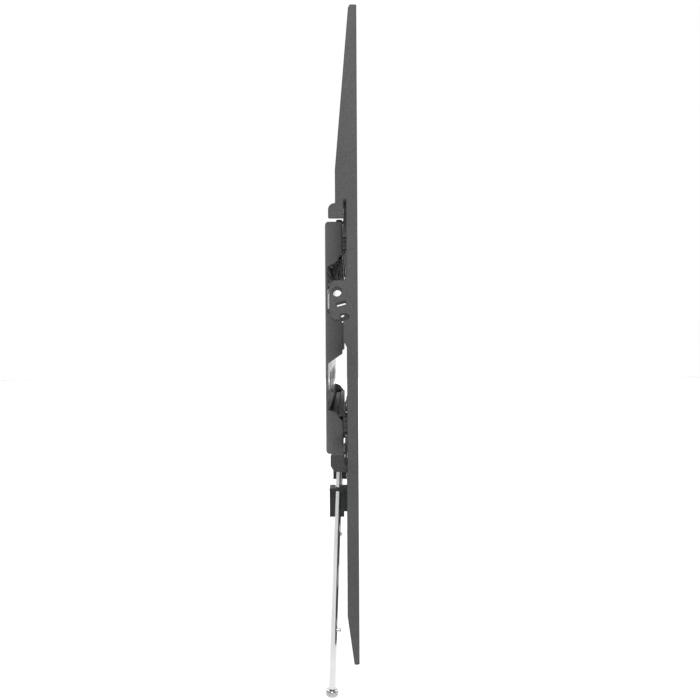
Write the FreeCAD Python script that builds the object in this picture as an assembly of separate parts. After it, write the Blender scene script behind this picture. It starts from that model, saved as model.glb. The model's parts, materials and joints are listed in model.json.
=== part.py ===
"""Slim full-motion TV wall mount, folded flat: wall plate, two tiers of folding links,
swivel plate, tilting crossbars and two hook-on rails with spring-loaded release rods.

Millimetres. X runs along the wall, Y = 0 is the wall face and the room is toward -Y, Z is up.
The origin is the middle of the wall plate's back face.
"""
import FreeCAD, Part
import os
import math

os.makedirs("parts", exist_ok=True)

# ---- driving dimensions -------------------------------------------------------------
PLATE_HALF_W = 245.0        # wall plate
PLATE_HALF_H = 127.2
PLATE_T = 2.5
PLATE_DEPTH = 18.6
PLATE_BEND_R = 3.0
CORNER_R = 4.0
SHEET_HALF_H = 122.8            # the back sheet stops short of the side flanges' ends
LAG_HALF_X = 203.2          # slots line up with studs 406.4 mm apart
LAG_HALF_Z = 55.0
LAG_SLOT_W = 8.5
LAG_SLOT_L = 30.0

WALL_AXIS = (-228.0, -8.25)     # vertical hinge axes, as X and Y
ELBOW_AXIS = (233.0, -12.0)
FRONT_AXIS = (-256.0, -22.1)
END_BOLT = (-234.5, -15.6)      # stiffening bolt across the outer link's near end
PIN_R = 3.0
RUNNING = 0.05                  # radial running clearance
LUG_R = 5.0
ELBOW_LUG_R = 6.0

INNER_Z = (93.0, 123.5)         # upper tier of the inner link, mirrored for the lower one
INNER_Y = (-11.5, -5.0)
OUTER_Z = (90.0, 126.5)
OUTER_Y = (-19.0, -12.5)
SHEET = 2.2

BRACKET_Z = (95.7, 120.8)
BRACKET_RIVET_Z = (102.0, 114.5)
BARREL_R = 2.8                  # front hinge
FRONT_PIN_R = 1.7
KNUCKLE_GAP = 0.3
STRAP_T = 1.8
LEAF_RIVET_X = (-232.0, -215.0, -198.0)
UPPER_BARREL = (95.0, 107.0)
LOWER_BARREL = (-101.5, -85.0)

BAR_Y = (-23.3, -21.1)          # crossbars: the ends under the rails' hooks
BAR_MID_Y = (-26.3, -24.1)      # and the middle, set forward
BAR_HALF_L = 316.0
BAR_JOGGLE = (250.0, 258.0)     # where the set begins and ends
LIP_DEPTH = 4.9
RIVET_R = 2.0
RIVET_HEAD_R = 3.0
FOOT_X = 19.0                   # foot rivets, each side of a tilt arm's middle
LOWER_FOOT_Z = (-113.5, -105.8)
UPPER_BAR_Z = (110.5, 134.0)
LOWER_BAR_Z = (-124.5, -105.8)
BEAD_R = 1.9
BEAD_Y = -21.4
UPPER_BEAD_Z = 114.0
LOWER_BEAD_Z = -114.6
CAP_T = 2.5

SWIVEL_Y = (-27.8, -25.6)       # swivel plate
SWIVEL_HALF_H = 84.0
SWIVEL_RIGHT = 135.0
SWIVEL_SLOT_X = (-205.0, -145.0, -60.0, 0.0, 60.0)
SWIVEL_SLOT_Z = (-46.0, 0.0, 46.0)
TILT_X = 105.0                  # tilt arms
TILT_HALF_W = 12.0
TILT_AXIS = (-29.7, -118.0)     # as Y and Z
TILT_BARREL_R = 3.0
TILT_BOLT_R = 2.0
TILT_HEAD_R = 3.3
TILT_BACK = -28.4
TILT_FRONT = -33.4
TILT_WEB_LOW = -112.5           # the cheeks go on below it and hold the bolt
BRACKET_HALF_W = 9.0
BRACKET_TOP = -60.0

RAIL_X = 300.0                  # rails
RAIL_HALF_W = 23.0
RAIL_FACE = -34.6
RAIL_BACK = -23.5
RAIL_BACK_LOW = -22.9           # below the crossbars
RAIL_TIP = -29.6
RAIL_TOP = 326.5
RAIL_BOTTOM = -324.3
RAIL_BEND_R = 2.3

ROD_R = 3.25                    # release rod
ROD_TOP = (-14.9, -136.0)       # as Y and Z
ROD_LENGTH = 224.0
ROD_LEAN = 2.1
ROD_BORE_R = 2.15
BUTTON_R = 1.9
BUTTON_DROP = 163.0             # snap button below the rod's top, along the rod
GUIDE_Z = (-182.5, -152.5)
GUIDE_SCREW_Z = (-176.0, -161.0)
GUIDE_BACK = -5.3
LATCH_TOP = -117.2
LATCH_STEP_Z = -122.3           # beside the latch's tongue its top edge is lower
LATCH_TONGUE_X = -7.0           # the step begins here, from the rail's middle
COLLAR_Z = (-143.9, -136.3)
KNOB_R = 6.3

# notches in the wall plate's side flanges, as (Y, Z, corner radius); the right flange's upper
# notch goes higher, under the folded elbow
NOTCH_OUTLINE = [
    (-PLATE_DEPTH - 1, 92.5, 0), (-16.5, 89.5, 3), (-10.5, 81.5, 4), (-2.6, 78.5, 1.5),
    (-2.6, 28.0, 1.5), (-PLATE_DEPTH - 1, 16.5, 0)]
ELBOW_NOTCH_OUTLINE = [
    (-PLATE_DEPTH - 1, 99.0, 0), (-16.5, 96.5, 3), (-8.0, 95.0, 4), (-2.6, 85.0, 1.5),
    (-2.6, 60.0, 0), (-PLATE_DEPTH - 1, 60.0, 0)]

# side flange of a rail: outline as (Y, Z, corner radius), then the openings in its ear
FLANGE_OUTLINE = [
    (RAIL_FACE, RAIL_TOP), (-28.0, RAIL_TOP, 0.8), (-26.3, RAIL_TOP - 3.0, 1.0),
    (-12.6, 165.0, 12.0), (-12.6, 132.3, 0.5), (-5.7, 132.3, 6.4), (-5.7, 117.4, 1.5),
    (-20.8, 117.4, 0.4), (-20.8, 136.4, 1.3), (-23.6, 136.4, 1.3), (-23.6, 117.4, 0.02),
    (RAIL_BACK, 116.9, 0.02), (RAIL_BACK, 56.6, 4.5), (-6.5, 56.6, 6.0), (-6.5, 17.9, 6.0),
    (-20.0, 17.9, 1.5), (-20.0, -3.0, 3.0), (RAIL_BACK, -9.5, 4.0),
    (RAIL_BACK, -136.0, 1.0), (RAIL_BACK_LOW, -139.0, 1.0), (RAIL_BACK_LOW, -275.9, 6.0),
    (RAIL_TIP, RAIL_BOTTOM, 1.0), (RAIL_FACE, RAIL_BOTTOM)]
INNER_HOOK_Z = 128.5            # the inner flange's hook is shorter
EAR_ROUND = (-13.9, 45.3, 4.7)
EAR_SLOT = (-18.2, 33.4, 10.8, 3.8, 15.0)
EAR_OVAL = (-21.4, 20.6, 9.0, 6.2)


# ---- helpers ------------------------------------------------------------------------
def vec(x, y, z):
    return FreeCAD.Vector(x, y, z)


def box(xs, ys, zs):
    """Box between two X, two Y and two Z values, in any order."""
    low = [min(pair) for pair in (xs, ys, zs)]
    size = [abs(pair[1] - pair[0]) for pair in (xs, ys, zs)]
    return Part.makeBox(*size, vec(*low))


def rod_z(axis, radius, z0, z1):
    """Upright cylinder about an (X, Y) axis between two heights."""
    return Part.makeCylinder(radius, abs(z1 - z0), vec(axis[0], axis[1], min(z0, z1)))


def rod_x(yz, radius, x0, x1):
    return Part.makeCylinder(radius, abs(x1 - x0), vec(min(x0, x1), yz[0], yz[1]), vec(1, 0, 0))


def rod_y(xz, radius, y0, y1):
    return Part.makeCylinder(radius, abs(y1 - y0), vec(xz[0], min(y0, y1), xz[1]), vec(0, 1, 0))


def mirror_z(shape):
    return shape.mirror(vec(0, 0, 0), vec(0, 0, 1))


def mirror_x(shape):
    return shape.mirror(vec(0, 0, 0), vec(1, 0, 0))


def yz_prism(points, x0, x1):
    """Prism along X from an outline of (Y, Z) points; a third value rounds that corner."""
    corners = [vec(x0, p[0], p[1]) for p in points]
    count = len(points)
    edges = []
    starts = []
    ends = []
    for i in range(count):
        radius = points[i][2] if len(points[i]) > 2 else 0.0
        to_prev = (corners[i - 1] - corners[i]).normalize()
        to_next = (corners[(i + 1) % count] - corners[i]).normalize()
        if radius:
            half = to_prev.getAngle(to_next) / 2
            run = radius / math.tan(half)
            first = corners[i] + to_prev * run
            last = corners[i] + to_next * run
            centre = corners[i] + (to_prev + to_next).normalize() * (radius / math.sin(half))
            middle = centre + (corners[i] - centre).normalize() * radius
            edges.append(Part.Arc(first, middle, last).toShape())
        else:
            first = last = corners[i]
        starts.append(first)
        ends.append(last)
    for i in range(count):
        follow = starts[(i + 1) % count]
        if (follow - ends[i]).Length > 1e-6:
            edges.append(Part.LineSegment(ends[i], follow).toShape())
    wire = Part.Wire(Part.__sortEdges__(edges))
    return Part.Face(wire).extrude(vec(x1 - x0, 0, 0))


def slot_y(centre_xz, length, width, y0, y1, upright=False):
    """Round-ended slot cut along Y, lying along X or upright along Z."""
    x, z = centre_xz
    run = (length - width) / 2
    half = width / 2
    dx, dz = (0.0, run) if upright else (run, 0.0)
    body = box((x - dx - (half if upright else 0), x + dx + (half if upright else 0)),
               (y0, y1), (z - dz - (0 if upright else half), z + dz + (0 if upright else half)))
    return body.fuse([rod_y((x - dx, z - dz), half, y0, y1), rod_y((x + dx, z + dz), half, y0, y1)])


def upright_edges(shape, x, y, tol=0.01):
    """Edges that run along Z at the given X and Y."""
    found = []
    for edge in shape.Edges:
        ends = [v.Point for v in edge.Vertexes]
        if len(ends) == 2 and all(abs(p.x - x) < tol and abs(p.y - y) < tol for p in ends):
            found.append(edge)
    return found


def save(name, shape):
    """Write one node; a group of fasteners stays a compound of separate solids."""
    solids = shape.removeSplitter().Solids if not isinstance(shape, list) else shape
    result = solids[0] if len(solids) == 1 else Part.makeCompound(solids)
    if not result.isValid():
        print("INVALID", name)
    print("%-26s solids %d  volume %.0f" % (name, len(solids), result.Volume))
    result.exportStep("parts/%s.step" % name)


def both_tiers(shape):
    return [shape, mirror_z(shape)]


# ---- wall plate ---------------------------------------------------------------------
def rounding(z_sign, y, radius, side):
    """What rounds one corner of a side flange, at Y = 0 or at its free edge."""
    inward = -1 if y == 0.0 else 1
    xs = (side * (PLATE_HALF_W + 1), side * (PLATE_HALF_W - CORNER_R - 4))
    z = z_sign * PLATE_HALF_H
    block = box(xs, (y - inward, y + inward * radius), (z + z_sign, z - z_sign * radius))
    return block.cut(rod_x((y + inward * radius, z - z_sign * radius), radius, *xs))


def wall_plate():
    channel = box((-PLATE_HALF_W, PLATE_HALF_W), (0, -PLATE_DEPTH), (-PLATE_HALF_H, PLATE_HALF_H))
    inside = PLATE_HALF_W - PLATE_T
    channel = channel.cut(box((-inside, inside), (-PLATE_T, -PLATE_DEPTH - 1),
                              (-PLATE_HALF_H - 1, PLATE_HALF_H + 1)))
    for side in (-1, 1):
        channel = channel.makeFillet(PLATE_BEND_R, upright_edges(channel, side * PLATE_HALF_W, 0))
    cuts = []
    for z_sign in (-1, 1):
        cuts += [rounding(z_sign, 0.0, CORNER_R, side) for side in (-1, 1)]
        cuts += [rounding(z_sign, -PLATE_DEPTH, 1.0, side) for side in (-1, 1)]
        outline = [(y, z_sign * z, r) for y, z, r in NOTCH_OUTLINE]
        cuts.append(yz_prism(outline, -PLATE_HALF_W - 1, PLATE_HALF_W + 1))
        inner = PLATE_HALF_W - CORNER_R - 4
        cuts.append(box((-inner, inner), (1, -PLATE_T - 1),
                        (z_sign * SHEET_HALF_H, z_sign * (PLATE_HALF_H + 1))))
    cuts.append(yz_prism(ELBOW_NOTCH_OUTLINE, PLATE_HALF_W - CORNER_R, PLATE_HALF_W + 1))
    for x in (-LAG_HALF_X, LAG_HALF_X):
        for z in (-LAG_HALF_Z, LAG_HALF_Z):
            cuts.append(slot_y((x, z), LAG_SLOT_L, LAG_SLOT_W, 1, -PLATE_T - 1))
    for z in (-LAG_HALF_Z, LAG_HALF_Z):
        for x in (-120.0, -40.0, 40.0, 120.0):
            cuts.append(slot_y((x, z), 60.0, 26.0, 1, -PLATE_T - 1))
    for x in (-80.0, 0.0, 80.0):
        cuts.append(slot_y((x, 0.0), 34.0, LAG_SLOT_W, 1, -PLATE_T - 1))
    return channel.cut(cuts)


def wall_bracket():
    """Upper U bracket that holds a wall hinge pin: riveted web and two lugs."""
    x, y = WALL_AXIS
    bracket = box((x - 10, x + 7), (-PLATE_T, -PLATE_T - 2), BRACKET_Z)
    for z in (BRACKET_Z[0], BRACKET_Z[1] - SHEET):
        lug = box((x - LUG_R, x + LUG_R), (-PLATE_T, y), (z, z + SHEET))
        bracket = bracket.fuse([lug, rod_z(WALL_AXIS, LUG_R, z, z + SHEET)])
    rivet_holes = [rod_y((x - 7.0, z), 1.6, -PLATE_T + 0.1, -PLATE_T - 3) for z in BRACKET_RIVET_Z]
    return bracket.cut([rod_z(WALL_AXIS, PIN_R, BRACKET_Z[0] - 1, BRACKET_Z[1] + 1)] + rivet_holes)


def bracket_rivets():
    x = WALL_AXIS[0] - 7.0
    rivets = []
    for z in BRACKET_RIVET_Z:
        shank = rod_y((x, z), 1.6, -PLATE_T, -PLATE_T - 2.0)
        head = rod_y((x, z), 2.8, -PLATE_T - 2.0, -PLATE_T - 3.2)
        rivet = shank.fuse(head).removeSplitter()
        rivets += both_tiers(rivet)
    return rivets


def headed_pin(axis, radius, z_low, z_high, head_r, head_t, clip_r, clip_t):
    """Pin with a head above z_high and a retaining clip as a separate ring below z_low."""
    pin = rod_z(axis, radius, z_low - clip_t - 0.8, z_high).fuse(
        rod_z(axis, head_r, z_high, z_high + head_t))
    crown = [e for e in pin.Edges if abs(e.BoundBox.ZMin - z_high - head_t) < 0.01]
    pin = pin.removeSplitter().makeFillet(min(0.7, head_t / 3), crown[:1])
    clip = rod_z(axis, clip_r, z_low - clip_t, z_low).cut(
        rod_z(axis, radius, z_low - clip_t - 1, z_low + 1))
    return pin, clip


# ---- folding links ------------------------------------------------------------------
def rounded_flange(x0, x1, ys, zs, lugs):
    """One horizontal flange of a link with the discs that surround its hinge axes."""
    return box((x0, x1), ys, zs).fuse([rod_z(axis, r, zs[0], zs[1]) for axis, r in lugs])


def link_holes(first, last, zs, y0, y1):
    """Lightening slots in a link's web."""
    mid = (zs[0] + zs[1]) / 2
    count = 5
    pitch = (last - first) / count
    return [slot_y((first + pitch * (i + 0.5), mid), 52.0, 16.0, y0, y1) for i in range(count)]


def inner_arm():
    web = box((WALL_AXIS[0] + 10, ELBOW_AXIS[0] - 11), (INNER_Y[1] - 2.0, INNER_Y[1]), INNER_Z)
    lugs = [(WALL_AXIS, LUG_R), (ELBOW_AXIS, ELBOW_LUG_R)]
    low = rounded_flange(WALL_AXIS[0], ELBOW_AXIS[0], INNER_Y,
                         (INNER_Z[0], INNER_Z[0] + SHEET), lugs)
    high = rounded_flange(WALL_AXIS[0], ELBOW_AXIS[0], INNER_Y,
                          (INNER_Z[1] - SHEET, INNER_Z[1]), lugs)
    arm = web.fuse([low, high])
    holes = [rod_z(WALL_AXIS, PIN_R + RUNNING, 70, 130), rod_z(ELBOW_AXIS, PIN_R, 70, 130)]
    return arm.cut(holes + link_holes(WALL_AXIS[0] + 20, ELBOW_AXIS[0] - 20, INNER_Z, -4, -8))


def outer_arm():
    near_end = -PLATE_HALF_W + 5.0
    web = box((near_end, ELBOW_AXIS[0] - 9), (OUTER_Y[0], OUTER_Y[0] + SHEET), OUTER_Z)
    lugs = [(ELBOW_AXIS, ELBOW_LUG_R)]
    low = rounded_flange(near_end, ELBOW_AXIS[0], OUTER_Y, (OUTER_Z[0], OUTER_Z[0] + SHEET), lugs)
    high = rounded_flange(near_end, ELBOW_AXIS[0], OUTER_Y, (OUTER_Z[1] - SHEET, OUTER_Z[1]), lugs)
    arm = web.fuse([low, high])
    holes = [rod_z(ELBOW_AXIS, PIN_R + RUNNING, 70, 130),
             rod_z(END_BOLT, 2.5, 70, 130)]
    return arm.cut(holes + link_holes(near_end + 75, ELBOW_AXIS[0] - 20, OUTER_Z, -16, -20))


def end_bolt():
    """Upper bolt, round head on top; its nut is a separate solid."""
    bolt = rod_z(END_BOLT, 2.5, OUTER_Z[0] - 3.4, OUTER_Z[1]).fuse(
        rod_z(END_BOLT, 3.4, OUTER_Z[1], OUTER_Z[1] + 4.0))
    nut = rod_z(END_BOLT, 3.4, OUTER_Z[0] - 3.0, OUTER_Z[0]).cut(
        rod_z(END_BOLT, 2.5, OUTER_Z[0] - 4, OUTER_Z[0] + 1))
    return bolt.removeSplitter(), nut


def elbow_washer(z0, z1):
    return rod_z(ELBOW_AXIS, 5.6, z0, z1).cut(rod_z(ELBOW_AXIS, PIN_R, z0 - 1, z1 + 1))


def knuckles(span):
    """Heights of the lower, middle and upper knuckle of a front hinge."""
    length = span[1] - span[0]
    first = span[0] + length * 0.3
    last = span[1] - length * 0.3
    return (span[0], first), (first + KNUCKLE_GAP, last - KNUCKLE_GAP), (last, span[1])


def hinge_leaf(span):
    """Strap riveted to the outer link that carries the middle knuckle of a front hinge."""
    x, y = FRONT_AXIS
    back = OUTER_Y[0]
    middle = knuckles(span)[1]
    strap = box((x + 7, -190), (back, back - STRAP_T), (span[0] + 0.5, span[1] - 0.5))
    tongue = box((x, x + 8), (back, back - STRAP_T), middle)
    barrel = rod_z(FRONT_AXIS, BARREL_R, *middle)
    holes = [rod_y((rx, leaf_line(span)), 2.0, back + 0.1, back - 3) for rx in LEAF_RIVET_X]
    leaf = strap.fuse([tongue, barrel]).cut(holes)
    return leaf.cut(rod_z(FRONT_AXIS, FRONT_PIN_R, span[0] - 1, span[1] + 1))


def leaf_line(span):
    """Height of a strap's rivets, on the outer link's web."""
    return span[0] + 5.0 if span[0] < 0 else (span[0] + span[1]) / 2


def leaf_rivets():
    rivets = []
    for span in (UPPER_BARREL, LOWER_BARREL):
        for rx in LEAF_RIVET_X:
            shank = rod_y((rx, leaf_line(span)), 2.0, OUTER_Y[0], OUTER_Y[0] - STRAP_T)
            head = rod_y((rx, leaf_line(span)), 3.2, OUTER_Y[0] - STRAP_T, OUTER_Y[0] - STRAP_T - 1.2)
            rivets.append(shank.fuse(head).removeSplitter())
    return rivets


def front_pin(span):
    pin = rod_z(FRONT_AXIS, FRONT_PIN_R, span[0] - 0.3, span[1] + 0.3)
    heads = [rod_z(FRONT_AXIS, 2.6, span[0] - 1.5, span[0] - 0.3),
             rod_z(FRONT_AXIS, 2.6, span[1] + 0.3, span[1] + 1.5)]
    return pin.fuse(heads).removeSplitter()


# ---- swivel plate -------------------------------------------------------------------
def swivel_plate():
    left = FRONT_AXIS[0] - 3
    plate = box((left, SWIVEL_RIGHT), SWIVEL_Y, (-SWIVEL_HALF_H, SWIVEL_HALF_H))
    return plate.cut([slot_y((x, z), 34.0, 8.5, SWIVEL_Y[1] + 1, SWIVEL_Y[0] - 1)
                      for x in SWIVEL_SLOT_X for z in SWIVEL_SLOT_Z])


def swivel_lug(span):
    """Lug welded to the plate's edge, with the two outer knuckles of a front hinge."""
    x, y = FRONT_AXIS
    edge = SWIVEL_HALF_H if span[0] > 0 else -SWIVEL_HALF_H
    far = span[1] if span[0] > 0 else span[0]
    pieces = []
    for index in (0, 2):
        zs = knuckles(span)[index]
        pieces.append(rod_z(FRONT_AXIS, BARREL_R, *zs))
        pieces.append(box((x - BARREL_R, x + BARREL_R), (y, SWIVEL_Y[1]), zs))
    lug = box((x - 3, x + 24), SWIVEL_Y, (edge, far)).fuse(pieces).removeSplitter()
    return lug.cut(rod_z(FRONT_AXIS, FRONT_PIN_R + RUNNING, span[0] - 2, span[1] + 2))


def tilt_bracket(centre):
    """Strap welded to the swivel plate's face, ending in the barrel of a tilt pivot."""
    sides = (centre - BRACKET_HALF_W, centre + BRACKET_HALF_W)
    strap = box(sides, (SWIVEL_Y[0], SWIVEL_Y[0] - SHEET), (TILT_AXIS[1], BRACKET_TOP))
    barrel = rod_x(TILT_AXIS, TILT_BARREL_R, sides[0] - 0.5, sides[1] + 0.5)
    bore = rod_x(TILT_AXIS, TILT_BOLT_R + RUNNING, sides[0] - 1, sides[1] + 1)
    return strap.fuse(barrel).removeSplitter().cut(bore)


# ---- tilt frame ---------------------------------------------------------------------
def crossbar(zs, bead_z, lip_zs):
    """Bent strip: forward in the middle with a stiffening lip, set back at both ends."""
    inner, outer = BAR_JOGGLE
    front = [(-BAR_HALF_L, BAR_Y[0]), (-outer, BAR_Y[0]), (-inner, BAR_MID_Y[0]),
             (inner, BAR_MID_Y[0]), (outer, BAR_Y[0]), (BAR_HALF_L, BAR_Y[0])]
    back = [(BAR_HALF_L, BAR_Y[1]), (outer - 1, BAR_Y[1]), (inner - 1, BAR_MID_Y[1]),
            (1 - inner, BAR_MID_Y[1]), (1 - outer, BAR_Y[1]), (-BAR_HALF_L, BAR_Y[1])]
    outline = [vec(x, y, zs[0]) for x, y in front + back]
    bar = Part.Face(Part.makePolygon(outline + outline[:1])).extrude(vec(0, 0, zs[1] - zs[0]))
    lip = box((2 - inner, inner - 2), (BAR_MID_Y[0], BAR_MID_Y[0] - LIP_DEPTH), lip_zs)
    beads = [rod_x((BEAD_Y, bead_z), BEAD_R, side * outer, side * BAR_HALF_L) for side in (-1, 1)]
    return bar.fuse([lip] + beads).removeSplitter().cut(foot_holes(zs))


def foot_spots(zs):
    """Rivets through the tilt arms' feet, as X and Z."""
    line = zs[1] - 14.0 if zs[0] > 0 else sum(LOWER_FOOT_Z) / 2
    return [(centre + side, line) for centre in (-TILT_X, TILT_X) for side in (-FOOT_X, FOOT_X)]


def foot_holes(zs):
    return [rod_y(spot, RIVET_R, BAR_MID_Y[1] + 1, BAR_MID_Y[0] - 3.0) for spot in foot_spots(zs)]


def crossbar_upper():
    lip_zs = (UPPER_BAR_Z[1] - SHEET, UPPER_BAR_Z[1])
    return crossbar(UPPER_BAR_Z, UPPER_BEAD_Z, lip_zs)


def crossbar_lower():
    """The lower crossbar's top edge is relieved where the tilt brackets pass in front."""
    lip_zs = (LOWER_BAR_Z[0], LOWER_BAR_Z[0] + SHEET)
    bar = crossbar(LOWER_BAR_Z, LOWER_BEAD_Z, lip_zs)
    half = BRACKET_HALF_W + 2
    return bar.cut([box((c - half, c + half), (BAR_MID_Y[1] + 1, BAR_MID_Y[0] - 1),
                        (TILT_WEB_LOW, LOWER_BAR_Z[1] + 1)) for c in (-TILT_X, TILT_X)])


def foot_rivets():
    rivets = []
    foot = BAR_MID_Y[0] - 2.0
    for spot in foot_spots(UPPER_BAR_Z) + foot_spots(LOWER_BAR_Z):
        rivet = rod_y(spot, RIVET_R, BAR_MID_Y[1], foot).fuse([
            rod_y(spot, RIVET_HEAD_R, BAR_MID_Y[1], BAR_MID_Y[1] + 0.9),
            rod_y(spot, RIVET_HEAD_R, foot, foot - 1.4)])
        rivets.append(rivet.removeSplitter())
    return rivets


def end_caps():
    caps = []
    for zs, bead_z in ((UPPER_BAR_Z, UPPER_BEAD_Z), (LOWER_BAR_Z, LOWER_BEAD_Z)):
        for side in (-1, 1):
            ends = (side * BAR_HALF_L, side * (BAR_HALF_L + CAP_T))
            cap = box(ends, BAR_Y, zs).fuse(rod_x((BEAD_Y, bead_z), BEAD_R, *ends))
            caps.append(cap.removeSplitter())
    return caps


def tilt_arm(centre):
    """Upright channel open to the wall, with feet riveted to both crossbars."""
    low, high = LOWER_BAR_Z[0] + SHEET + 0.2, UPPER_BAR_Z[1] - SHEET - 0.2
    left, right = centre - TILT_HALF_W, centre + TILT_HALF_W
    seat = BAR_MID_Y[0]
    pieces = []
    for x0 in (left, right - 2):
        pieces.append(box((x0, x0 + 2), (TILT_FRONT, TILT_BACK), (low, high)))
        for zs in ((UPPER_BAR_Z[0], high), (low, LOWER_BAR_Z[1])):
            pieces.append(box((x0, x0 + 2), (TILT_FRONT, seat), zs))
    reach = FOOT_X + 8.0
    for zs in ((UPPER_BAR_Z[0], high), LOWER_FOOT_Z):
        pieces.append(box((centre - reach, left + 1), (seat, seat - 2), zs))
        pieces.append(box((right - 1, centre + reach), (seat, seat - 2), zs))
    arm = box((left, right), (TILT_FRONT, TILT_FRONT + 2), (TILT_WEB_LOW, high)).fuse(pieces)
    holes = foot_holes(UPPER_BAR_Z) + foot_holes(LOWER_BAR_Z)
    holes.append(rod_x(TILT_AXIS, TILT_BOLT_R, left - 1, right + 1))
    holes += [slot_y((centre, z), 30.0, 8.0, -30, -35, upright=True) for z in (-60, -15, 30, 75)]
    return arm.removeSplitter().cut(holes)


def tilt_bolt(centre):
    """Bolt through one tilt pivot, with its hexagon nut and washer."""
    left, right = centre - TILT_HALF_W, centre + TILT_HALF_W
    bolt = rod_x(TILT_AXIS, TILT_BOLT_R, left - 5.5, right).fuse(
        rod_x(TILT_AXIS, TILT_HEAD_R, right, right + 3.0))
    turns = [math.radians(60 * i) for i in range(7)]
    corners = [vec(left - 4.6, TILT_AXIS[0] + TILT_HEAD_R * math.cos(turn),
                   TILT_AXIS[1] + TILT_HEAD_R * math.sin(turn)) for turn in turns]
    nut = Part.Face(Part.makePolygon(corners)).extrude(vec(4.0, 0, 0))
    nut = nut.cut(rod_x(TILT_AXIS, TILT_BOLT_R, left - 10, left + 5))
    washer = rod_x(TILT_AXIS, TILT_HEAD_R, left - 0.6, left).cut(
        rod_x(TILT_AXIS, TILT_BOLT_R, left - 1, left + 1))
    return bolt.removeSplitter(), nut, washer


# ---- TV rails -----------------------------------------------------------------------
def flange_slot(y, z, length, width, lean, x0, x1):
    """Round-ended slot through a flange; lean lifts its room end."""
    run = (length - width) / 2
    dy = -run * math.cos(math.radians(lean))
    dz = run * math.sin(math.radians(lean))
    half = width / 2
    bar = box((x0, x1), (-run, run), (-half, half))
    bar.rotate(vec(0, 0, 0), vec(1, 0, 0), -lean)
    bar.translate(vec(0, y, z))
    return bar.fuse([rod_x((y + dy, z + dz), half, x0, x1), rod_x((y - dy, z - dz), half, x0, x1)])


def rail_left():
    x0, x1 = -RAIL_X - RAIL_HALF_W, -RAIL_X + RAIL_HALF_W
    body = yz_prism(FLANGE_OUTLINE, x0, x1)
    for x in (x0, x1):
        body = body.makeFillet(RAIL_BEND_R, [e for e in upright_edges(body, x, RAIL_FACE)])
    hollow = box((x0 + SHEET, x1 - SHEET), (RAIL_FACE + SHEET, 10), (RAIL_BOTTOM - 1, RAIL_TOP + 1))
    body = body.cut(hollow)
    through = (x0 - 1, x1 + 1)
    cuts = [rod_x(EAR_ROUND[:2], EAR_ROUND[2], *through),
            flange_slot(*EAR_SLOT, *through),
            flange_slot(*EAR_OVAL, 0.0, *through)]
    for z in (-300, -200, -100, 100, 200, 300):
        cuts.append(rod_y((-RAIL_X, z), 4.5, RAIL_FACE - 1, RAIL_FACE + 4))
    for z in (-250, -150, -50, 50, 150, 250):
        cuts.append(slot_y((-RAIL_X, z), 24.0, 9.0, RAIL_FACE - 1, RAIL_FACE + 4, upright=True))
    cuts += [rod_y((-RAIL_X + 8, z), 1.5, RAIL_FACE - 1, RAIL_FACE + 4) for z in GUIDE_SCREW_Z]
    cuts.append(box((-RAIL_X, x1 + 1), (-20.8, 0), (100.0, INNER_HOOK_Z)))
    return body.cut(cuts)


def lean(shape):
    """Lean a shape built upright under the origin onto the release rod's axis."""
    shape.rotate(vec(0, 0, 0), vec(1, 0, 0), ROD_LEAN)
    shape.translate(vec(-RAIL_X, ROD_TOP[0], ROD_TOP[1]))
    return shape


def guide_left():
    """Black guide on the rail: a ring round the rod above a channel open on the outer side."""
    x, back, front = -RAIL_X, GUIDE_BACK, RAIL_FACE + SHEET
    block = box((x - 1.2, x + 13), (back, front), GUIDE_Z)
    ring = box((x - 6, x + 13), (back, -23.0), (GUIDE_Z[1] - 3.0, GUIDE_Z[1]))
    tongue = box((x - 20.6, x), (-23.6, -27.6), (-177.0, -157.0))
    block = block.fuse([ring, tongue]).removeSplitter()
    bore = lean(rod_z((0, 0), ROD_R + 0.08, -60, 0))
    screws = [rod_y((x + 8, z), 1.5, -26, RAIL_FACE) for z in GUIDE_SCREW_Z]
    notch = box((x - 30, x + 30), (-20.0, -23.6), (GUIDE_Z[0] - 1, GUIDE_Z[0] + 5.5))
    return block.cut([bore, notch] + screws)


def guide_screws():
    return [rod_y((-RAIL_X + 8, z), 1.5, -26.5, RAIL_FACE + 0.3) for z in GUIDE_SCREW_Z]


def release_rod():
    tube = rod_z((0, 0), ROD_R, -ROD_LENGTH, 0).cut(rod_z((0, 0), ROD_BORE_R, -ROD_LENGTH - 1, 1))
    side_hole = rod_y((0, -BUTTON_DROP), BUTTON_R + 0.06, -6, -1)
    return lean(tube.cut(side_hole))


def rod_end():
    """Domed knob on the rod's lower end, with a spigot inside the tube."""
    knob = rod_z((0, 0), KNOB_R, -ROD_LENGTH - 7.0, -ROD_LENGTH)
    rim = [e for e in knob.Edges if abs(e.BoundBox.ZMax - e.BoundBox.ZMin) < 0.01]
    lower = [e for e in rim if e.BoundBox.ZMin < -ROD_LENGTH - 6]
    upper = [e for e in rim if e.BoundBox.ZMin > -ROD_LENGTH - 1]
    knob = knob.makeFillet(3.0, lower).makeFillet(1.2, upper[:1])
    spigot = rod_z((0, 0), ROD_BORE_R, -ROD_LENGTH, -ROD_LENGTH + 10)
    return lean(knob.fuse(spigot).removeSplitter())


def snap_button():
    body = rod_y((0, -BUTTON_DROP), BUTTON_R, -7.0, -1.9)
    tip = [e for e in body.Edges if abs(e.BoundBox.YMax + 7.0) < 0.01]
    return lean(body.makeFillet(1.2, tip))


def rod_collar():
    """Half collar under the latch, open on the outer side of the rod."""
    block = box((-RAIL_X - 1.5, -RAIL_X + 8.5), (-9.0, -22.8), COLLAR_Z)
    return block.cut(lean(rod_z((0, 0), ROD_R, -20, 3)))


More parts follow.
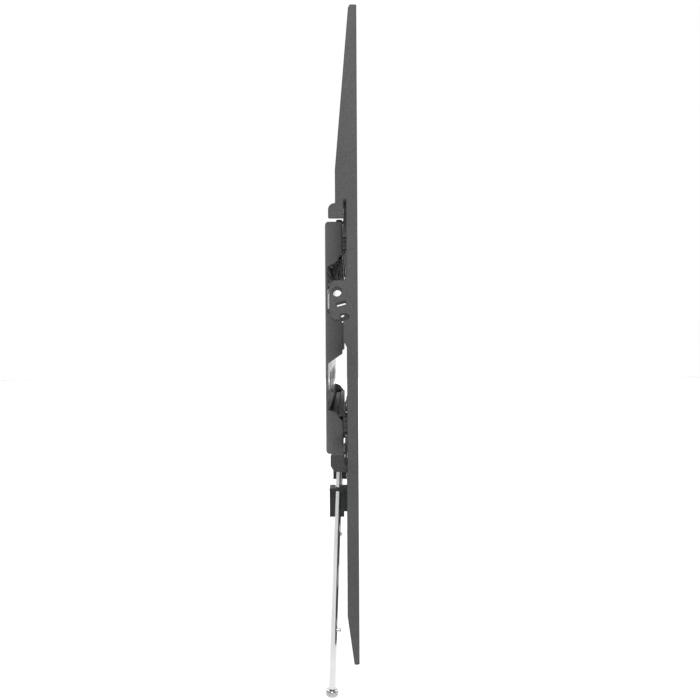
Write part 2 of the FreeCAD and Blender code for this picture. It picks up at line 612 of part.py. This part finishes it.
def latch_left():
    """Sprung latch: a jaw behind the lower crossbar and a lip under its edge."""
    jaw = yz_prism([(-6.65, LATCH_TOP, 1.5), (-20.7, LATCH_TOP, 0.4), (-20.7, -125.0),
                    (-23.7, -125.0, 0.4), (-23.7, -133.9, 0.6), (-10.1, -133.9, 0.8),
                    (-6.65, -127.5, 0.8)], -RAIL_X - 17, -RAIL_X + 17)
    stem = lean(rod_z((0, 0), 5.2, 0, 5))
    socket = lean(rod_z((0, 0), ROD_R, -1, 0))
    pocket = box((-RAIL_X - 12, -RAIL_X - 6), (-9.5, -18), (-131, -125))
    step = box((-RAIL_X + LATCH_TONGUE_X, -RAIL_X + 18), (-6, -24), (LATCH_TOP + 1, LATCH_STEP_Z))
    return jaw.fuse(stem).removeSplitter().cut([socket, pocket, mirror_pocket(pocket), step])


def mirror_pocket(shape):
    return shape.mirror(vec(-RAIL_X, 0, 0), vec(1, 0, 0))


# ---- nodes --------------------------------------------------------------------------
def main():
    save("wall_plate", wall_plate())
    bracket = wall_bracket()
    save("wall_bracket_upper", bracket)
    save("wall_bracket_lower", mirror_z(bracket))
    save("bracket_rivets", bracket_rivets())
    pin, clip = headed_pin(WALL_AXIS, PIN_R, INNER_Z[0] - 0.3, INNER_Z[1] + 0.3, 3.9, 1.6, 3.9, 1.0)
    save("wall_pins", both_tiers(pin))
    save("wall_pin_clips", both_tiers(clip))

    arm = inner_arm()
    save("inner_arm_upper", arm)
    save("inner_arm_lower", mirror_z(arm))
    pin, clip = headed_pin(ELBOW_AXIS, PIN_R, OUTER_Z[0] - 0.3, OUTER_Z[1] + 0.3, 5.0, 2.0, 5.0, 1.2)
    save("elbow_pins", both_tiers(pin))
    save("elbow_pin_clips", both_tiers(clip))
    washers = [elbow_washer(INNER_Z[1], INNER_Z[1] + 0.6), elbow_washer(INNER_Z[0] - 0.6, INNER_Z[0])]
    save("elbow_washers", both_tiers(washers[0]) + both_tiers(washers[1]))

    arm = outer_arm()
    save("outer_arm_upper", arm)
    save("outer_arm_lower", mirror_z(arm))
    bolt, nut = end_bolt()
    save("arm_end_bolts", both_tiers(bolt))
    save("arm_end_nuts", both_tiers(nut))
    save("hinge_leaf_upper", hinge_leaf(UPPER_BARREL))
    save("hinge_leaf_lower", hinge_leaf(LOWER_BARREL))
    save("leaf_rivets", leaf_rivets())
    save("front_pin_upper", front_pin(UPPER_BARREL))
    save("front_pin_lower", front_pin(LOWER_BARREL))

    save("swivel_plate", swivel_plate())
    save("swivel_lug_upper", swivel_lug(UPPER_BARREL))
    save("swivel_lug_lower", swivel_lug(LOWER_BARREL))
    save("tilt_bracket_left", tilt_bracket(-TILT_X))
    save("tilt_bracket_right", tilt_bracket(TILT_X))

    save("crossbar_upper", crossbar_upper())
    save("crossbar_lower", crossbar_lower())
    save("crossbar_end_caps", end_caps())
    save("foot_rivets", foot_rivets())
    save("tilt_arm_left", tilt_arm(-TILT_X))
    save("tilt_arm_right", tilt_arm(TILT_X))
    sets = [tilt_bolt(-TILT_X), tilt_bolt(TILT_X)]
    for i, name in enumerate(("tilt_bolts", "tilt_nuts", "tilt_washers")):
        save(name, [each[i] for each in sets])

    save("guide_screws_left", guide_screws())
    save("guide_screws_right", [mirror_x(screw) for screw in guide_screws()])
    left_nodes = {"rail": rail_left, "rod_guide": guide_left, "release_rod": release_rod,
                  "rod_end": rod_end, "snap_button": snap_button, "rod_collar": rod_collar,
                  "latch": latch_left}
    for name, make in left_nodes.items():
        shape = make()
        save(name + "_left", shape)
        save(name + "_right", mirror_x(shape))


main()
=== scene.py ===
"""Looks for the folded full-motion TV wall mount: powder-coated steel, bright release rods,
black plastic guides, on a plain pale floor under soft studio light. Metres, CAD frame."""
import json
import math

import bpy
from mathutils import Matrix, Vector


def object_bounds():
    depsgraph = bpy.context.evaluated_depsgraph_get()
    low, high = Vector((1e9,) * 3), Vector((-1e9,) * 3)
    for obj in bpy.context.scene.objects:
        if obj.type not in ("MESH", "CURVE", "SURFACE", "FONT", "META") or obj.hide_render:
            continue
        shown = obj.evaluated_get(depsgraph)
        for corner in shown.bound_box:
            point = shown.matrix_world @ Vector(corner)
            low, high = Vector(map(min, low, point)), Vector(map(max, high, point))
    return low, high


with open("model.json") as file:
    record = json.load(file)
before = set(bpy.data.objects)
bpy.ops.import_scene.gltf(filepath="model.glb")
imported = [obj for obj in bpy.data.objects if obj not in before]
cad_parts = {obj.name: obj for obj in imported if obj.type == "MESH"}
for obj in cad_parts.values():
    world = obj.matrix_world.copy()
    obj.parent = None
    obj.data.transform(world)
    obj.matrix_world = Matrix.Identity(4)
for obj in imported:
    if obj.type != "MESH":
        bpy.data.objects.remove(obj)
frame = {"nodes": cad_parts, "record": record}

cad_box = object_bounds()
nodes = frame["nodes"]
MM = 0.001


# ---- camera -------------------------------------------------------------------------
CAMERA_AT = Vector((-1.023, -0.0244, -0.0038))    # level with the mount, looking along +X
SENSOR_MM = 36.0
LENS_MM = 36.514
AIM_SLOPE = (-0.003169, 0.012113)                  # how far +X leans right and up of the aim
ROLL_DEG = 0.3


def make_camera():
    data = bpy.data.cameras.new("photo_camera")
    data.sensor_width = SENSOR_MM
    data.lens = LENS_MM
    data.clip_start = 0.01
    camera = bpy.data.objects.new("photo_camera", data)
    bpy.context.scene.collection.objects.link(camera)
    level = Matrix(((0, 0, -1), (-1, 0, 0), (0, 1, 0)))        # columns: right, up, back
    aim = Vector((*AIM_SLOPE, -1.0))
    turn = Vector((0, 0, -1)).rotation_difference(aim).to_matrix().inverted()
    roll = Matrix.Rotation(math.radians(-ROLL_DEG), 3, "Z")
    camera.matrix_world = Matrix.Translation(CAMERA_AT) @ (level @ turn @ roll).to_4x4()
    bpy.context.scene.camera = camera


# ---- node helpers -------------------------------------------------------------------
MIX_A, MIX_B, MIX_RESULT = 6, 7, 2                 # a mix node's colour sockets


class Nodes:
    """A small wrapper that adds and links shader nodes for one material."""

    def __init__(self, name):
        self.material = bpy.data.materials.new(name)
        self.material.use_nodes = True
        self.tree = self.material.node_tree
        self.shader = self.tree.nodes["Principled BSDF"]
        self.coords = self.add("ShaderNodeTexCoord").outputs["Object"]

    def add(self, kind, **inputs):
        node = self.tree.nodes.new(kind)
        for key, value in inputs.items():
            node.inputs[key.replace("_", " ")].default_value = value
        return node

    def link(self, source, target):
        self.tree.links.new(source, target)

    def noise(self, scale, detail=2.0, stretch=None):
        """Noise in object space; stretch scales the axes one by one."""
        source = self.coords
        if stretch:
            mapping = self.add("ShaderNodeMapping")
            mapping.inputs["Scale"].default_value = stretch
            self.link(source, mapping.inputs["Vector"])
            source = mapping.outputs["Vector"]
        node = self.add("ShaderNodeTexNoise", Scale=scale, Detail=detail)
        self.link(source, node.inputs["Vector"])
        return node.outputs["Fac"]

    def ramp(self, source, stops):
        """Maps a value through (position, grey or colour) stops."""
        node = self.tree.nodes.new("ShaderNodeValToRGB")
        elements = node.color_ramp.elements
        while len(elements) < len(stops):
            elements.new(0.5)
        for element, (place, colour) in zip(elements, stops):
            element.position = place
            element.color = (*colour, 1.0) if isinstance(colour, tuple) else (colour,) * 3 + (1.0,)
        self.link(source, node.inputs["Fac"])
        return node.outputs["Color"]

    def mix(self, factor, first, colour):
        """Goes from a socket's colour to a fixed one."""
        node = self.tree.nodes.new("ShaderNodeMix")
        node.data_type = "RGBA"
        self.link(factor, node.inputs["Factor"])
        self.link(first, node.inputs[MIX_A])
        node.inputs[MIX_B].default_value = (*colour, 1.0)
        return node.outputs[MIX_RESULT]

    def bump(self, height, strength, distance, under=None):
        node = self.add("ShaderNodeBump", Strength=strength, Distance=distance)
        self.link(height, node.inputs["Height"])
        if under:
            self.link(under, node.inputs["Normal"])
        return node.outputs["Normal"]

    def edge_mask(self, radius, low, high):
        """White near edges, where a rounded normal turns away from the face's own."""
        bevel = self.tree.nodes.new("ShaderNodeBevel")
        bevel.samples = 4
        bevel.inputs["Radius"].default_value = radius
        geometry = self.tree.nodes.new("ShaderNodeNewGeometry")
        dot = self.tree.nodes.new("ShaderNodeVectorMath")
        dot.operation = "DOT_PRODUCT"
        self.link(bevel.outputs["Normal"], dot.inputs[0])
        self.link(geometry.outputs["Normal"], dot.inputs[1])
        return self.ramp(dot.outputs["Value"], [(low, 1.0), (high, 0.0)])


# ---- materials ----------------------------------------------------------------------
GRAIN = 1500.0                                     # noise scale of the powder coat's speckles
GRAIN_DEPTH = 0.09 * MM
# painted shade: coat edges and bends darken to this tone, which the scuffs also take
SCUFF_AND_EDGE_SHADE = (0.02, 0.02, 0.021)


def powder_coat(name, dark, light, scuff_and_shade_tone, coat=0.0, gloss=0.2):
    """Fine textured powder coat: speckle, shade drift, faint scuffs and painted shade darkening
    its edges and bends.
    """
    n = Nodes(name)
    speckle = n.ramp(n.noise(GRAIN, 3.0), [(0.34, dark), (0.66, light)])
    drift = n.ramp(n.noise(9.0, 3.0), [(0.3, 0.84), (0.7, 1.0)])
    shade = n.tree.nodes.new("ShaderNodeMix")
    shade.data_type = "RGBA"
    shade.blend_type = "MULTIPLY"
    shade.inputs["Factor"].default_value = 1.0
    n.link(speckle, shade.inputs[MIX_A])
    n.link(drift, shade.inputs[MIX_B])
    scuffs = n.ramp(n.noise(60.0, 6.0, (1.0, 1.0, 0.35)), [(0.66, 0.0), (0.74, 0.22)])
    scuffed = n.mix(scuffs, shade.outputs[MIX_RESULT], scuff_and_shade_tone)
    # painted shade: a band along every edge and bend darkens to the scuff tone
    shaded = n.mix(n.edge_mask(1.5 * MM, 0.84, 0.98), scuffed, scuff_and_shade_tone)
    n.link(shaded, n.shader.inputs["Base Color"])
    rough = n.ramp(n.noise(GRAIN * 0.6, 2.0), [(0.3, 0.52), (0.7, 0.7)])
    n.link(rough, n.shader.inputs["Roughness"])
    fine = n.bump(n.noise(GRAIN, 2.0), 0.55, GRAIN_DEPTH)
    n.link(n.bump(n.noise(260.0, 2.0), 0.35, 0.12 * MM, fine), n.shader.inputs["Normal"])
    n.shader.inputs["Specular IOR Level"].default_value = gloss
    n.shader.inputs["Coat Weight"].default_value = coat
    n.shader.inputs["Coat Roughness"].default_value = 0.1
    return n.material


def black_zinc(name):
    """Black zinc-plated fasteners: dark satin metal with rubbed bright edges."""
    n = Nodes(name)
    tone = n.ramp(n.noise(420.0, 4.0), [(0.3, (0.018, 0.018, 0.02)), (0.7, (0.05, 0.05, 0.054))])
    worn = n.mix(n.edge_mask(0.4 * MM, 0.5, 0.92), tone, (0.16, 0.16, 0.165))
    n.link(worn, n.shader.inputs["Base Color"])
    n.link(n.ramp(n.noise(700.0, 3.0), [(0.3, 0.3), (0.7, 0.46)]), n.shader.inputs["Roughness"])
    n.link(n.bump(n.noise(900.0, 2.0), 0.25, 0.03 * MM), n.shader.inputs["Normal"])
    n.shader.inputs["Metallic"].default_value = 0.65
    return n.material


def moulded_plastic(name):
    """Spark-textured black plastic with a slightly green-blue cast."""
    n = Nodes(name)
    tone = n.ramp(n.noise(55.0, 4.0), [(0.3, (0.016, 0.021, 0.022)), (0.7, (0.026, 0.032, 0.033))])
    worn = n.mix(n.edge_mask(0.5 * MM, 0.5, 0.92), tone, (0.06, 0.066, 0.067))
    n.link(worn, n.shader.inputs["Base Color"])
    n.link(n.ramp(n.noise(1100.0, 2.0), [(0.3, 0.38), (0.7, 0.55)]), n.shader.inputs["Roughness"])
    n.link(n.bump(n.noise(1600.0, 2.0), 0.4, 0.05 * MM), n.shader.inputs["Normal"])
    n.shader.inputs["Specular IOR Level"].default_value = 0.5
    return n.material


def bright_zinc(name, dull, bright):
    """Bright zinc-plated rod: drawing lines along its length and faint cloudy patches."""
    n = Nodes(name)
    cloud = n.ramp(n.noise(38.0, 4.0), [(0.3, dull), (0.7, bright)])
    n.link(cloud, n.shader.inputs["Base Color"])
    lines = n.noise(900.0, 3.0, (1.0, 1.0, 0.02))
    n.link(n.ramp(lines, [(0.3, 0.13), (0.7, 0.26)]), n.shader.inputs["Roughness"])
    n.link(n.bump(lines, 0.18, 0.02 * MM), n.shader.inputs["Normal"])
    n.shader.inputs["Metallic"].default_value = 1.0
    return n.material


def dress_nodes():
    """Each node takes its slot's material; a few take one of their own."""
    made = {
        # each coat's last colour is its scuff tone and also its painted edge shade
        "charcoal_powder_coat": powder_coat("charcoal_powder_coat", 0.085, 0.145, SCUFF_AND_EDGE_SHADE),
        "latch_steel": powder_coat("latch_steel", 0.06, 0.11, (0.05, 0.05, 0.052)),
        "wall_plate_coat": powder_coat("wall_plate_coat", 0.11, 0.18, SCUFF_AND_EDGE_SHADE, 0.85, 0.42),
        "link_coat": powder_coat("link_coat", 0.075, 0.12, (0.04, 0.04, 0.042)),
        "black_zinc_steel": black_zinc("black_zinc_steel"),
        "black_plastic": moulded_plastic("black_plastic"),
        "bright_zinc": bright_zinc("bright_zinc", (0.70, 0.705, 0.715), (0.86, 0.86, 0.865)),
        # painted shade: the rod-end knobs take a darker copy of the rod's bright zinc
        "shaded_knob_zinc": bright_zinc("shaded_knob_zinc", (0.36, 0.37, 0.38), (0.52, 0.525, 0.535)),
    }
    own = {"wall_plate": "wall_plate_coat"}
    for side in ("left", "right"):
        own["rod_end_" + side] = "shaded_knob_zinc"
    for tier in ("upper", "lower"):
        own["inner_arm_" + tier] = "link_coat"
        own["outer_arm_" + tier] = "link_coat"
    for part in frame["record"]["subparts"]:
        piece = nodes[part["node"]]
        piece.data.materials.clear()
        piece.data.materials.append(made[own.get(part["node"], part["material_slot"])])


# ---- studio -------------------------------------------------------------------------
WORLD_GREY = 0.2                                   # behind the camera and at the sides
WORLD_WHITE = 1.0
WORLD_Z_SHARE = 0.85                               # how much height counts beside +X
WORLD_RISE = (0.45, 0.75)                          # where grey begins to turn, and white begins
FLOOR_DROP = 0.42                                  # below the mount's lowest point
FLOOR_HALF = 14.0


def studio():
    floor_z = cad_box[0][2] - FLOOR_DROP
    mesh = bpy.data.meshes.new("floor")
    half = FLOOR_HALF
    corners = [(-half, -half, floor_z), (half, -half, floor_z),
               (half, half, floor_z), (-half, half, floor_z)]
    mesh.from_pydata(corners, [], [(0, 1, 2, 3)])
    floor = bpy.data.objects.new("floor", mesh)
    bpy.context.scene.collection.objects.link(floor)
    n = Nodes("pale_floor")
    n.link(n.ramp(n.noise(3.0, 3.0), [(0.3, 0.90), (0.7, 0.93)]), n.shader.inputs["Base Color"])
    n.shader.inputs["Roughness"].default_value = 0.9
    mesh.materials.append(n.material)

    studio_world()
    softbox("key_light", (-1.3, -0.05, 1.5), 0.7, 24.0)
    softbox("front_light", (-0.2, -2.6, 1.2), 1.4, 4.0)
    softbox("floor_light", (9.0, 0.0, 4.0), 12.0, 900.0, (9.0, 0.0, 0.0))
    bpy.context.scene.view_settings.view_transform = "Standard"


def studio_world():
    """White ahead of the camera and overhead, falling to grey at the sides and behind."""
    world = bpy.data.worlds.new("studio")
    world.use_nodes = True
    tree = world.node_tree
    sky = tree.nodes["Background"]
    coords = tree.nodes.new("ShaderNodeTexCoord")
    parts = tree.nodes.new("ShaderNodeSeparateXYZ")
    ramp = tree.nodes.new("ShaderNodeValToRGB")
    stops = ramp.color_ramp.elements
    blend = tree.nodes.new("ShaderNodeMath")
    blend.operation = "MULTIPLY_ADD"
    blend.inputs[1].default_value = WORLD_Z_SHARE
    for stop, place, grey in zip(stops, WORLD_RISE, (WORLD_GREY, WORLD_WHITE)):
        stop.position = place
        stop.color = (grey, grey, grey, 1.0)
    tree.links.new(coords.outputs["Generated"], parts.inputs["Vector"])
    tree.links.new(parts.outputs["Z"], blend.inputs[0])
    tree.links.new(parts.outputs["X"], blend.inputs[2])
    tree.links.new(blend.outputs["Value"], ramp.inputs["Fac"])
    tree.links.new(ramp.outputs["Color"], sky.inputs["Color"])
    bpy.context.scene.world = world


def softbox(name, place, size, power, target=(0.0, 0.0, 0.0)):
    """Square soft light aimed at a target, which is the mount's middle unless given."""
    data = bpy.data.lights.new(name, "AREA")
    data.size = size
    data.energy = power
    light = bpy.data.objects.new(name, data)
    light.location = place
    light.rotation_euler = (Vector(target) - Vector(place)).to_track_quat("-Z", "Y").to_euler()
    bpy.context.scene.collection.objects.link(light)


make_camera()
dress_nodes()
studio()
